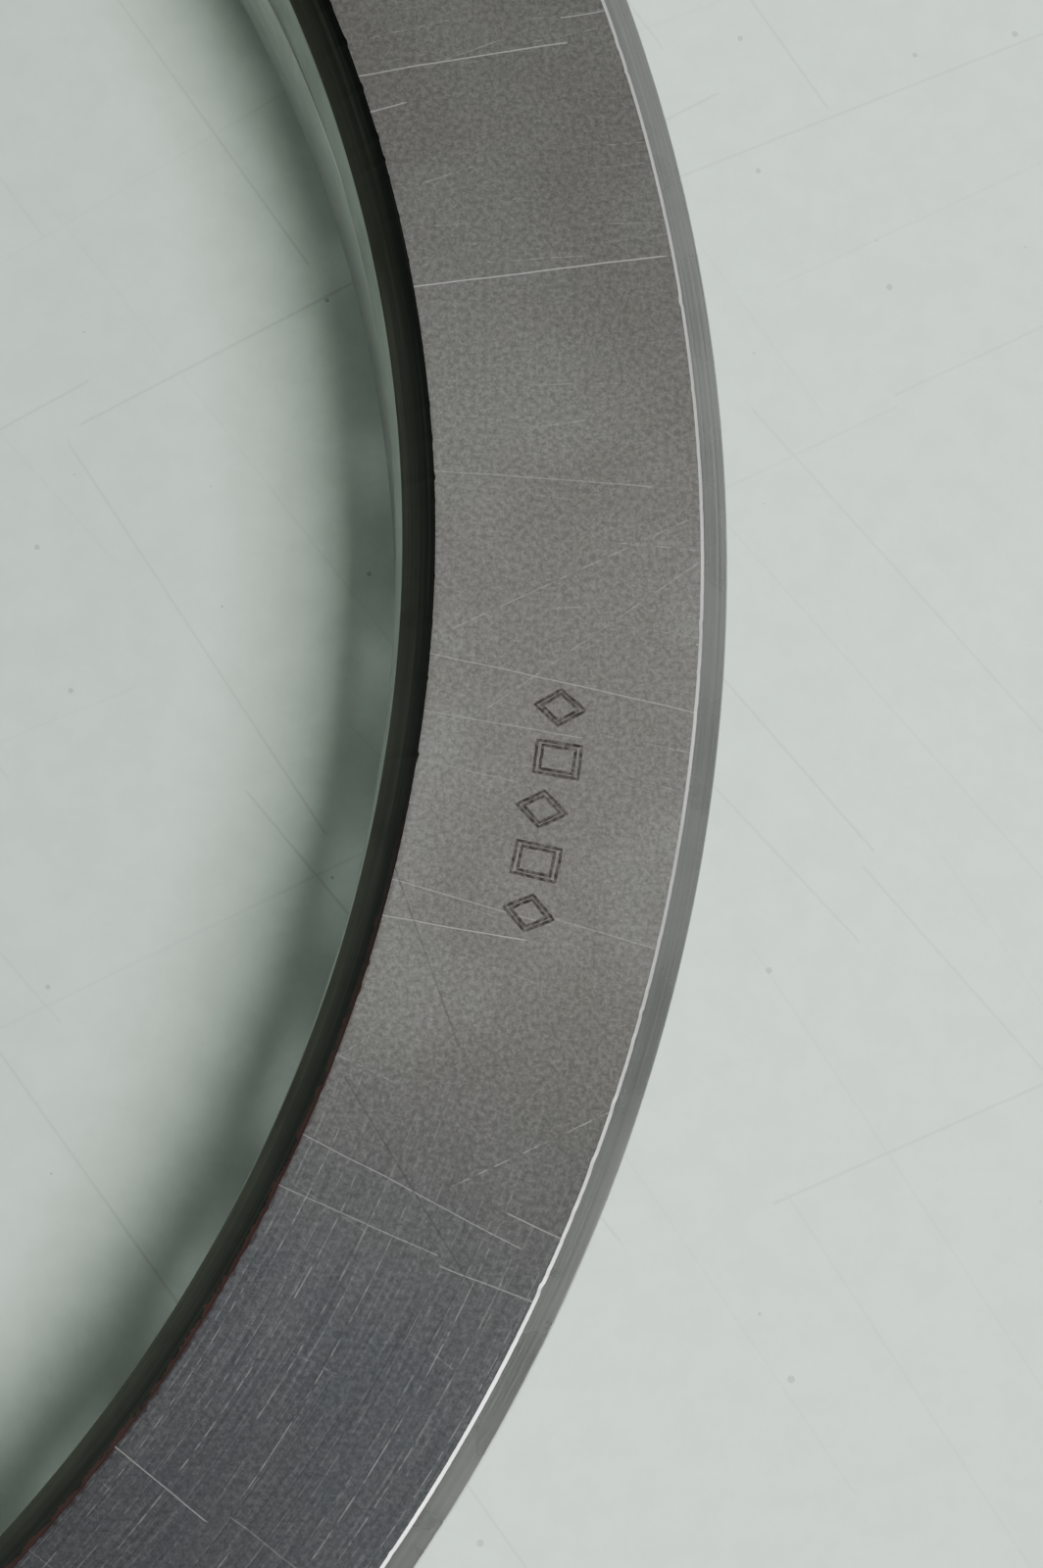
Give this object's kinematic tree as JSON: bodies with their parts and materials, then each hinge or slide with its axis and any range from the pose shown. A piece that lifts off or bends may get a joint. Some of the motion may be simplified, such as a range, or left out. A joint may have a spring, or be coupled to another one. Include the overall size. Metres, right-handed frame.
{
  "type": "spherical roller thrust bearing",
  "caption": "Self-aligning thrust bearing: barrel rollers in a brass cage between a spherical housing washer and a flat-backed shaft washer with a wide open bore.",
  "frame": {"origin": "centre of the housing washer's flat back, which the bearing stands on", "axes": "+Z along the bearing axis, from the housing washer to the shaft washer; +X through the middle of roller_01, and the self-aligning joint turns about a line along X"},
  "size_m": [0.27, 0.27, 0.03],
  "materials": {
    "ground_steel": "ground and lapped flat back with fine round lines, light scratches and a turned dark bevel",
    "housing_steel": "ground rim and back, polished spherical raceway",
    "roller_steel": "fine-ground, nearly mirror-bright bearing steel",
    "cage_brass": "machined brass with fine turning lines",
    "sleeve_steel": "plain cold-formed sheet steel"
  },
  "bodies": {
    "housing": {"housing_washer": "housing_steel"},
    "carrier": {"guide_sleeve": "sleeve_steel"},
    "shaft": {"shaft_washer": "ground_steel"},
    "cage_unit": {"cage": "cage_brass"},
    "roller_01": {"roller_01": "roller_steel"},
    "roller_02": {"roller_02": "roller_steel"},
    "roller_03": {"roller_03": "roller_steel"},
    "roller_04": {"roller_04": "roller_steel"},
    "roller_05": {"roller_05": "roller_steel"},
    "roller_06": {"roller_06": "roller_steel"},
    "roller_07": {"roller_07": "roller_steel"},
    "roller_08": {"roller_08": "roller_steel"},
    "roller_09": {"roller_09": "roller_steel"},
    "roller_10": {"roller_10": "roller_steel"},
    "roller_11": {"roller_11": "roller_steel"},
    "roller_12": {"roller_12": "roller_steel"},
    "roller_13": {"roller_13": "roller_steel"},
    "roller_14": {"roller_14": "roller_steel"},
    "roller_15": {"roller_15": "roller_steel"},
    "roller_16": {"roller_16": "roller_steel"},
    "roller_17": {"roller_17": "roller_steel"},
    "roller_18": {"roller_18": "roller_steel"},
    "roller_19": {"roller_19": "roller_steel"},
    "roller_20": {"roller_20": "roller_steel"},
    "roller_21": {"roller_21": "roller_steel"},
    "roller_22": {"roller_22": "roller_steel"},
    "roller_23": {"roller_23": "roller_steel"},
    "roller_24": {"roller_24": "roller_steel"},
    "roller_25": {"roller_25": "roller_steel"},
    "roller_26": {"roller_26": "roller_steel"},
    "roller_27": {"roller_27": "roller_steel"},
    "roller_28": {"roller_28": "roller_steel"},
    "roller_29": {"roller_29": "roller_steel"},
    "roller_30": {"roller_30": "roller_steel"},
    "roller_31": {"roller_31": "roller_steel"},
    "roller_32": {"roller_32": "roller_steel"},
    "roller_33": {"roller_33": "roller_steel"},
    "roller_34": {"roller_34": "roller_steel"},
    "roller_35": {"roller_35": "roller_steel"},
    "roller_36": {"roller_36": "roller_steel"},
    "roller_37": {"roller_37": "roller_steel"},
    "roller_38": {"roller_38": "roller_steel"},
    "roller_39": {"roller_39": "roller_steel"},
    "roller_40": {"roller_40": "roller_steel"},
    "roller_41": {"roller_41": "roller_steel"},
    "roller_42": {"roller_42": "roller_steel"},
    "roller_43": {"roller_43": "roller_steel"},
    "roller_44": {"roller_44": "roller_steel"}
  },
  "joints": [
    {"name": "self_align", "type": "hinge", "parent": "housing", "child": "carrier", "pos_m": [0, 0, 0.14628], "axis": [1, 0, 0], "range_deg": [-1.5, 1.5]},
    {"name": "shaft_spin", "type": "hinge", "parent": "carrier", "child": "shaft", "pos_m": [0, 0, 0.03], "axis": [0, 0, 1], "continuous": true},
    {"name": "cage_spin", "type": "hinge", "parent": "carrier", "child": "cage_unit", "pos_m": [0, 0, 0.01469], "axis": [0, 0, 1], "continuous": true},
    {"name": "roller_01_spin", "type": "hinge", "parent": "cage_unit", "child": "roller_01", "pos_m": [0.12249, 0, 0.01469], "axis": [0.7071, 0, 0.7071], "continuous": true},
    {"name": "roller_02_spin", "type": "hinge", "parent": "cage_unit", "child": "roller_02", "pos_m": [0.12125, 0.01743, 0.01469], "axis": [0.6999, 0.1006, 0.7071], "continuous": true},
    {"name": "roller_03_spin", "type": "hinge", "parent": "cage_unit", "child": "roller_03", "pos_m": [0.11753, 0.03451, 0.01469], "axis": [0.6785, 0.1992, 0.7071], "continuous": true},
    {"name": "roller_04_spin", "type": "hinge", "parent": "cage_unit", "child": "roller_04", "pos_m": [0.11142, 0.05089, 0.01469], "axis": [0.6432, 0.2937, 0.7071], "continuous": true},
    {"name": "roller_05_spin", "type": "hinge", "parent": "cage_unit", "child": "roller_05", "pos_m": [0.10305, 0.06622, 0.01469], "axis": [0.5949, 0.3823, 0.7071], "continuous": true},
    {"name": "roller_06_spin", "type": "hinge", "parent": "cage_unit", "child": "roller_06", "pos_m": [0.09257, 0.08022, 0.01469], "axis": [0.5344, 0.4631, 0.7071], "continuous": true},
    {"name": "roller_07_spin", "type": "hinge", "parent": "cage_unit", "child": "roller_07", "pos_m": [0.08022, 0.09257, 0.01469], "axis": [0.4631, 0.5344, 0.7071], "continuous": true},
    {"name": "roller_08_spin", "type": "hinge", "parent": "cage_unit", "child": "roller_08", "pos_m": [0.06622, 0.10305, 0.01469], "axis": [0.3823, 0.5949, 0.7071], "continuous": true},
    {"name": "roller_09_spin", "type": "hinge", "parent": "cage_unit", "child": "roller_09", "pos_m": [0.05089, 0.11142, 0.01469], "axis": [0.2937, 0.6432, 0.7071], "continuous": true},
    {"name": "roller_10_spin", "type": "hinge", "parent": "cage_unit", "child": "roller_10", "pos_m": [0.03451, 0.11753, 0.01469], "axis": [0.1992, 0.6785, 0.7071], "continuous": true},
    {"name": "roller_11_spin", "type": "hinge", "parent": "cage_unit", "child": "roller_11", "pos_m": [0.01743, 0.12125, 0.01469], "axis": [0.1006, 0.6999, 0.7071], "continuous": true},
    {"name": "roller_12_spin", "type": "hinge", "parent": "cage_unit", "child": "roller_12", "pos_m": [0, 0.12249, 0.01469], "axis": [0, 0.7071, 0.7071], "continuous": true},
    {"name": "roller_13_spin", "type": "hinge", "parent": "cage_unit", "child": "roller_13", "pos_m": [-0.01743, 0.12125, 0.01469], "axis": [-0.1006, 0.6999, 0.7071], "continuous": true},
    {"name": "roller_14_spin", "type": "hinge", "parent": "cage_unit", "child": "roller_14", "pos_m": [-0.03451, 0.11753, 0.01469], "axis": [-0.1992, 0.6785, 0.7071], "continuous": true},
    {"name": "roller_15_spin", "type": "hinge", "parent": "cage_unit", "child": "roller_15", "pos_m": [-0.05089, 0.11142, 0.01469], "axis": [-0.2937, 0.6432, 0.7071], "continuous": true},
    {"name": "roller_16_spin", "type": "hinge", "parent": "cage_unit", "child": "roller_16", "pos_m": [-0.06622, 0.10305, 0.01469], "axis": [-0.3823, 0.5949, 0.7071], "continuous": true},
    {"name": "roller_17_spin", "type": "hinge", "parent": "cage_unit", "child": "roller_17", "pos_m": [-0.08022, 0.09257, 0.01469], "axis": [-0.4631, 0.5344, 0.7071], "continuous": true},
    {"name": "roller_18_spin", "type": "hinge", "parent": "cage_unit", "child": "roller_18", "pos_m": [-0.09257, 0.08022, 0.01469], "axis": [-0.5344, 0.4631, 0.7071], "continuous": true},
    {"name": "roller_19_spin", "type": "hinge", "parent": "cage_unit", "child": "roller_19", "pos_m": [-0.10305, 0.06622, 0.01469], "axis": [-0.5949, 0.3823, 0.7071], "continuous": true},
    {"name": "roller_20_spin", "type": "hinge", "parent": "cage_unit", "child": "roller_20", "pos_m": [-0.11142, 0.05089, 0.01469], "axis": [-0.6432, 0.2937, 0.7071], "continuous": true},
    {"name": "roller_21_spin", "type": "hinge", "parent": "cage_unit", "child": "roller_21", "pos_m": [-0.11753, 0.03451, 0.01469], "axis": [-0.6785, 0.1992, 0.7071], "continuous": true},
    {"name": "roller_22_spin", "type": "hinge", "parent": "cage_unit", "child": "roller_22", "pos_m": [-0.12125, 0.01743, 0.01469], "axis": [-0.6999, 0.1006, 0.7071], "continuous": true},
    {"name": "roller_23_spin", "type": "hinge", "parent": "cage_unit", "child": "roller_23", "pos_m": [-0.12249, 0, 0.01469], "axis": [-0.7071, 0, 0.7071], "continuous": true},
    {"name": "roller_24_spin", "type": "hinge", "parent": "cage_unit", "child": "roller_24", "pos_m": [-0.12125, -0.01743, 0.01469], "axis": [-0.6999, -0.1006, 0.7071], "continuous": true},
    {"name": "roller_25_spin", "type": "hinge", "parent": "cage_unit", "child": "roller_25", "pos_m": [-0.11753, -0.03451, 0.01469], "axis": [-0.6785, -0.1992, 0.7071], "continuous": true},
    {"name": "roller_26_spin", "type": "hinge", "parent": "cage_unit", "child": "roller_26", "pos_m": [-0.11142, -0.05089, 0.01469], "axis": [-0.6432, -0.2937, 0.7071], "continuous": true},
    {"name": "roller_27_spin", "type": "hinge", "parent": "cage_unit", "child": "roller_27", "pos_m": [-0.10305, -0.06622, 0.01469], "axis": [-0.5949, -0.3823, 0.7071], "continuous": true},
    {"name": "roller_28_spin", "type": "hinge", "parent": "cage_unit", "child": "roller_28", "pos_m": [-0.09257, -0.08022, 0.01469], "axis": [-0.5344, -0.4631, 0.7071], "continuous": true},
    {"name": "roller_29_spin", "type": "hinge", "parent": "cage_unit", "child": "roller_29", "pos_m": [-0.08022, -0.09257, 0.01469], "axis": [-0.4631, -0.5344, 0.7071], "continuous": true},
    {"name": "roller_30_spin", "type": "hinge", "parent": "cage_unit", "child": "roller_30", "pos_m": [-0.06622, -0.10305, 0.01469], "axis": [-0.3823, -0.5949, 0.7071], "continuous": true},
    {"name": "roller_31_spin", "type": "hinge", "parent": "cage_unit", "child": "roller_31", "pos_m": [-0.05089, -0.11142, 0.01469], "axis": [-0.2937, -0.6432, 0.7071], "continuous": true},
    {"name": "roller_32_spin", "type": "hinge", "parent": "cage_unit", "child": "roller_32", "pos_m": [-0.03451, -0.11753, 0.01469], "axis": [-0.1992, -0.6785, 0.7071], "continuous": true},
    {"name": "roller_33_spin", "type": "hinge", "parent": "cage_unit", "child": "roller_33", "pos_m": [-0.01743, -0.12125, 0.01469], "axis": [-0.1006, -0.6999, 0.7071], "continuous": true},
    {"name": "roller_34_spin", "type": "hinge", "parent": "cage_unit", "child": "roller_34", "pos_m": [0, -0.12249, 0.01469], "axis": [0, -0.7071, 0.7071], "continuous": true},
    {"name": "roller_35_spin", "type": "hinge", "parent": "cage_unit", "child": "roller_35", "pos_m": [0.01743, -0.12125, 0.01469], "axis": [0.1006, -0.6999, 0.7071], "continuous": true},
    {"name": "roller_36_spin", "type": "hinge", "parent": "cage_unit", "child": "roller_36", "pos_m": [0.03451, -0.11753, 0.01469], "axis": [0.1992, -0.6785, 0.7071], "continuous": true},
    {"name": "roller_37_spin", "type": "hinge", "parent": "cage_unit", "child": "roller_37", "pos_m": [0.05089, -0.11142, 0.01469], "axis": [0.2937, -0.6432, 0.7071], "continuous": true},
    {"name": "roller_38_spin", "type": "hinge", "parent": "cage_unit", "child": "roller_38", "pos_m": [0.06622, -0.10305, 0.01469], "axis": [0.3823, -0.5949, 0.7071], "continuous": true},
    {"name": "roller_39_spin", "type": "hinge", "parent": "cage_unit", "child": "roller_39", "pos_m": [0.08022, -0.09257, 0.01469], "axis": [0.4631, -0.5344, 0.7071], "continuous": true},
    {"name": "roller_40_spin", "type": "hinge", "parent": "cage_unit", "child": "roller_40", "pos_m": [0.09257, -0.08022, 0.01469], "axis": [0.5344, -0.4631, 0.7071], "continuous": true},
    {"name": "roller_41_spin", "type": "hinge", "parent": "cage_unit", "child": "roller_41", "pos_m": [0.10305, -0.06622, 0.01469], "axis": [0.5949, -0.3823, 0.7071], "continuous": true},
    {"name": "roller_42_spin", "type": "hinge", "parent": "cage_unit", "child": "roller_42", "pos_m": [0.11142, -0.05089, 0.01469], "axis": [0.6432, -0.2937, 0.7071], "continuous": true},
    {"name": "roller_43_spin", "type": "hinge", "parent": "cage_unit", "child": "roller_43", "pos_m": [0.11753, -0.03451, 0.01469], "axis": [0.6785, -0.1992, 0.7071], "continuous": true},
    {"name": "roller_44_spin", "type": "hinge", "parent": "cage_unit", "child": "roller_44", "pos_m": [0.12125, -0.01743, 0.01469], "axis": [0.6999, -0.1006, 0.7071], "continuous": true}
  ],
  "couplings": [
    {"joint": "cage_spin", "follows": "shaft_spin", "ratio": 0.48268},
    {"joint": "roller_01_spin", "follows": "shaft_spin", "ratio": -10.195},
    {"joint": "roller_02_spin", "follows": "shaft_spin", "ratio": -10.195},
    {"joint": "roller_03_spin", "follows": "shaft_spin", "ratio": -10.195},
    {"joint": "roller_04_spin", "follows": "shaft_spin", "ratio": -10.195},
    {"joint": "roller_05_spin", "follows": "shaft_spin", "ratio": -10.195},
    {"joint": "roller_06_spin", "follows": "shaft_spin", "ratio": -10.195},
    {"joint": "roller_07_spin", "follows": "shaft_spin", "ratio": -10.195},
    {"joint": "roller_08_spin", "follows": "shaft_spin", "ratio": -10.195},
    {"joint": "roller_09_spin", "follows": "shaft_spin", "ratio": -10.195},
    {"joint": "roller_10_spin", "follows": "shaft_spin", "ratio": -10.195},
    {"joint": "roller_11_spin", "follows": "shaft_spin", "ratio": -10.195},
    {"joint": "roller_12_spin", "follows": "shaft_spin", "ratio": -10.195},
    {"joint": "roller_13_spin", "follows": "shaft_spin", "ratio": -10.195},
    {"joint": "roller_14_spin", "follows": "shaft_spin", "ratio": -10.195},
    {"joint": "roller_15_spin", "follows": "shaft_spin", "ratio": -10.195},
    {"joint": "roller_16_spin", "follows": "shaft_spin", "ratio": -10.195},
    {"joint": "roller_17_spin", "follows": "shaft_spin", "ratio": -10.195},
    {"joint": "roller_18_spin", "follows": "shaft_spin", "ratio": -10.195},
    {"joint": "roller_19_spin", "follows": "shaft_spin", "ratio": -10.195},
    {"joint": "roller_20_spin", "follows": "shaft_spin", "ratio": -10.195},
    {"joint": "roller_21_spin", "follows": "shaft_spin", "ratio": -10.195},
    {"joint": "roller_22_spin", "follows": "shaft_spin", "ratio": -10.195},
    {"joint": "roller_23_spin", "follows": "shaft_spin", "ratio": -10.195},
    {"joint": "roller_24_spin", "follows": "shaft_spin", "ratio": -10.195},
    {"joint": "roller_25_spin", "follows": "shaft_spin", "ratio": -10.195},
    {"joint": "roller_26_spin", "follows": "shaft_spin", "ratio": -10.195},
    {"joint": "roller_27_spin", "follows": "shaft_spin", "ratio": -10.195},
    {"joint": "roller_28_spin", "follows": "shaft_spin", "ratio": -10.195},
    {"joint": "roller_29_spin", "follows": "shaft_spin", "ratio": -10.195},
    {"joint": "roller_30_spin", "follows": "shaft_spin", "ratio": -10.195},
    {"joint": "roller_31_spin", "follows": "shaft_spin", "ratio": -10.195},
    {"joint": "roller_32_spin", "follows": "shaft_spin", "ratio": -10.195},
    {"joint": "roller_33_spin", "follows": "shaft_spin", "ratio": -10.195},
    {"joint": "roller_34_spin", "follows": "shaft_spin", "ratio": -10.195},
    {"joint": "roller_35_spin", "follows": "shaft_spin", "ratio": -10.195},
    {"joint": "roller_36_spin", "follows": "shaft_spin", "ratio": -10.195},
    {"joint": "roller_37_spin", "follows": "shaft_spin", "ratio": -10.195},
    {"joint": "roller_38_spin", "follows": "shaft_spin", "ratio": -10.195},
    {"joint": "roller_39_spin", "follows": "shaft_spin", "ratio": -10.195},
    {"joint": "roller_40_spin", "follows": "shaft_spin", "ratio": -10.195},
    {"joint": "roller_41_spin", "follows": "shaft_spin", "ratio": -10.195},
    {"joint": "roller_42_spin", "follows": "shaft_spin", "ratio": -10.195},
    {"joint": "roller_43_spin", "follows": "shaft_spin", "ratio": -10.195},
    {"joint": "roller_44_spin", "follows": "shaft_spin", "ratio": -10.195}
  ]
}
